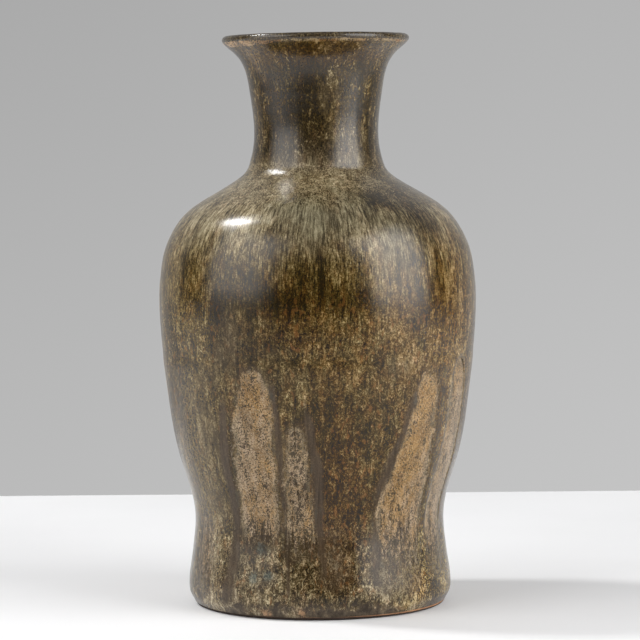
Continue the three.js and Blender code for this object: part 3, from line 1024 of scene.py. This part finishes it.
def glaze_material(name):
    """Running iron glaze over a light tan one, for both coats, so that their colours meet at the edges."""
    material, n = new_material(name)
    g = glaze_grounds(n)
    fine = glaze_detail(n, g)
    body = with_runs(n, g, glaze_body(n, g, glaze_tone(n, g, fine)))
    window = window_share(n, g)
    color = with_lip(n, g, with_pools(n, g, n.blend(window, body, window_color(n, g))))
    rough = n.between(window, n.between(g.filmed, 0.17, 0.24), 0.36)
    relief = n.add(n.times(fine, 0.6), n.times(g.grain, 0.4))
    # The low front reflects less than the rest.
    ior = n.between(n.times(g.low, g.frontward), 1.52, 1.38)
    surface(n, color, rough, relief, GLAZE_RELIEF, ior)
    return material


def clay_material(name, dark, light, rough):
    """Unglazed or covered clay with throwing marks and grog, with painted shade where it stands on the
    table.
    """
    material, n = new_material(name)
    here = n.object_mm()
    cloud = n.noise(here, (0.05, 0.05, 0.12), 4, 0.6)
    grog = n.noise(here, (1.1, 1.1, 1.1), 3, 0.6)
    color = n.ramp(n.add(n.times(cloud, 0.7), n.times(grog, 0.3)), [(0.38, dark), (0.62, light)])
    pits = n.step(grog, 0.36, 0.28)
    color = n.blend(n.times(pits, 0.6), color, dark, "MULTIPLY")
    # Painted shade: a near-black band at the bottom edge stands in for the contact shadow under the foot. It
    # is narrower on the right, where the lamps reach.
    rightward = n.step(n.part(here, "X"), 10, 60, -2.1, -1.5)
    painted_contact_shade = n.step(n.add(n.part(here, "Z"), rightward), 0.3, -0.2)
    color = n.blend(n.times(painted_contact_shade, 0.95), color, "#1a120b")
    surface(n, color, n.between(grog, rough, rough - 0.15), grog, CLAY_RELIEF)
    return material


def liner_material():
    """Dark gloss glaze inside, clouded where it ran."""
    material, n = new_material("liner")
    here = n.object_mm()
    cloud = n.noise(here, (0.06, 0.06, 0.03), 4, 0.6)
    fine = n.noise(here, (0.7, 0.7, 0.25), 3, 0.6)
    tone = n.add(n.times(cloud, 0.6), n.times(fine, 0.4))
    color = n.ramp(tone, [(0.35, "#1c1510"), (0.52, "#3a2d20"), (0.68, "#5e4a32")])
    surface(n, color, n.between(fine, 0.22, 0.36), fine, CLAY_RELIEF)
    return material


clays = {
    "bare_clay": clay_material("bare_clay", "#85593a", "#bd8f68", 0.9),
    "body_clay": clay_material("body_clay", "#866a50", "#a88a6c", 0.9),
    "fired_slip": clay_material("fired_slip", "#6c5440", "#8c7058", 0.95),
}
running_glaze = glaze_material("running_glaze")

for node, slot in CLAY.items():
    turned(f"{node}_turned", node, slot, clays[slot])
turned("first_glaze_coat", "first_glaze", "first_glaze", running_glaze, COAT_SIDES, glazed=True)
turned("liner_glaze_coat", "liner_glaze", "liner_glaze", liner_material())
poured_coat(running_glaze)


# The studio: a table, a backdrop, a large soft box on each side and a key lamp high on the left.

# Half widths, and the near and far edges as (y, z).
TABLE_SIDE = 3
TABLE_FRONT = (-1.0, 0)
TABLE_BACK = (0.6, 0)
BACKDROP_SIDE = 5
BACKDROP_BOTTOM = (2.4, -1)
BACKDROP_TOP = (2.4, 4)

# The lamps stand round this height, which is the vase's shoulder.
LAMPS_HEIGHT = 0.25


def plane(name, side, near, far, material):
    """Flat piece of the studio, between two edges that are given as (y, z)."""
    mesh = bpy.data.meshes.new(name)
    corners = [(-side, *near), (side, *near), (side, *far), (-side, *far)]
    mesh.from_pydata(corners, [], [(0, 1, 2, 3)])
    mesh.materials.append(material)
    sheet = bpy.data.objects.new(name, mesh)
    bpy.context.scene.collection.objects.link(sheet)


def table_material():
    """White paper, a little clouded."""
    material, n = new_material("table")
    cloud = n.noise(n.object_mm(), (0.004, 0.004, 0.004), 3, 0.5)
    color = n.ramp(cloud, [(0.3, "#f0f0f1"), (0.7, "#f5f5f6")])
    surface(n, color, 0.6, cloud, 0.0)
    return material


def glowing_backdrop_material():
    """Grey paper as a glowing sheet, with painted light that is lighter towards the table and the right."""
    material, n = new_material("backdrop")
    here = n.object_mm()
    sideways = n.step(n.part(here, "X"), -700, 700, -0.03, 0.03)
    level = n.add(n.step(n.part(here, "Z"), -500, 800, 0.535, 0.42), sideways)
    # Painted light: the backdrop glows instead of being lit. Its emission stands in for the light falling on
    # grey paper, and it also shines onto the vase.
    shader = n.make("ShaderNodeEmission", {"Color": (1.0, 1.0, 1.0, 1.0), "Strength": level})
    n.make("ShaderNodeOutputMaterial", {"Surface": shader})
    return material


def lamp(name, azimuth, elevation, distance, width, tall, radiance):
    """Rectangular lamp that faces the vase's shoulder, at an azimuth and elevation seen from there."""
    data = bpy.data.lights.new(name, "AREA")
    data.shape = "RECTANGLE"
    data.size, data.size_y = width, tall
    data.energy = radiance * math.pi * width * tall
    thing = bpy.data.objects.new(name, data)
    a, e = math.radians(azimuth), math.radians(elevation)
    away = Vector((math.sin(a) * math.cos(e), -math.cos(a) * math.cos(e), math.sin(e)))
    thing.location = Vector((0, 0, LAMPS_HEIGHT)) + away * distance
    thing.rotation_mode = "QUATERNION"
    thing.rotation_quaternion = (-away).to_track_quat("-Z", "Y")
    bpy.context.scene.collection.objects.link(thing)


def studio_world():
    """Faint white light from all round, stronger from above."""
    world = bpy.data.worlds.new("studio")
    world.use_nodes = True
    world.node_tree.nodes.clear()
    n = Nodes(world.node_tree)
    upward = n.part(n.make("ShaderNodeTexCoord", {}, "Generated"), "Z")
    strength = n.step(upward, 0.1, 0.9, 0.08, 0.3)
    glow = n.make("ShaderNodeBackground", {"Color": (1.0, 1.0, 1.0, 1.0), "Strength": strength})
    n.make("ShaderNodeOutputWorld", {"Surface": glow})
    return world


plane("table", TABLE_SIDE, TABLE_FRONT, TABLE_BACK, table_material())
plane("backdrop", BACKDROP_SIDE, BACKDROP_BOTTOM, BACKDROP_TOP, glowing_backdrop_material())
lamp("right_box", azimuth=61, elevation=21, distance=2.0, width=1.6, tall=2.0, radiance=4.4)
lamp("left_box", azimuth=-60, elevation=24, distance=2.0, width=1.7, tall=1.85, radiance=2.6)
lamp("key_lamp", azimuth=-102.7, elevation=51.4, distance=3.5, width=0.42, tall=0.56, radiance=77)
bpy.context.scene.world = studio_world()
bpy.context.scene.view_settings.view_transform = "Standard"


# The camera: a long lens a little below the rim, tilted down and turned by half a degree, with the frame
# moved right by a few pixels.

CAMERA_PLACE = (0, -1.98, 0.327)
CAMERA_PITCH = math.radians(3.69)
CAMERA_ROLL = math.radians(-0.49)
CAMERA_LENS = 157.95
SENSOR_WIDTH = 36
FRAME_WIDTH_PX = 640
FRAME_SHIFT_PX = 2.2

camera_data = bpy.data.cameras.new("camera")
camera_data.lens = CAMERA_LENS
camera_data.sensor_width = SENSOR_WIDTH
camera_data.shift_x = FRAME_SHIFT_PX / FRAME_WIDTH_PX
camera = bpy.data.objects.new("camera", camera_data)
forward = Vector((0, math.cos(CAMERA_PITCH), -math.sin(CAMERA_PITCH)))
level = Vector((1, 0, 0))
upright = level.cross(forward)
across = level * math.cos(CAMERA_ROLL) + upright * math.sin(CAMERA_ROLL)
over = across.cross(forward)
turning = Matrix((across, over, -forward)).transposed().to_4x4()
camera.matrix_world = Matrix.Translation(CAMERA_PLACE) @ turning
bpy.context.scene.collection.objects.link(camera)
bpy.context.scene.camera = camera
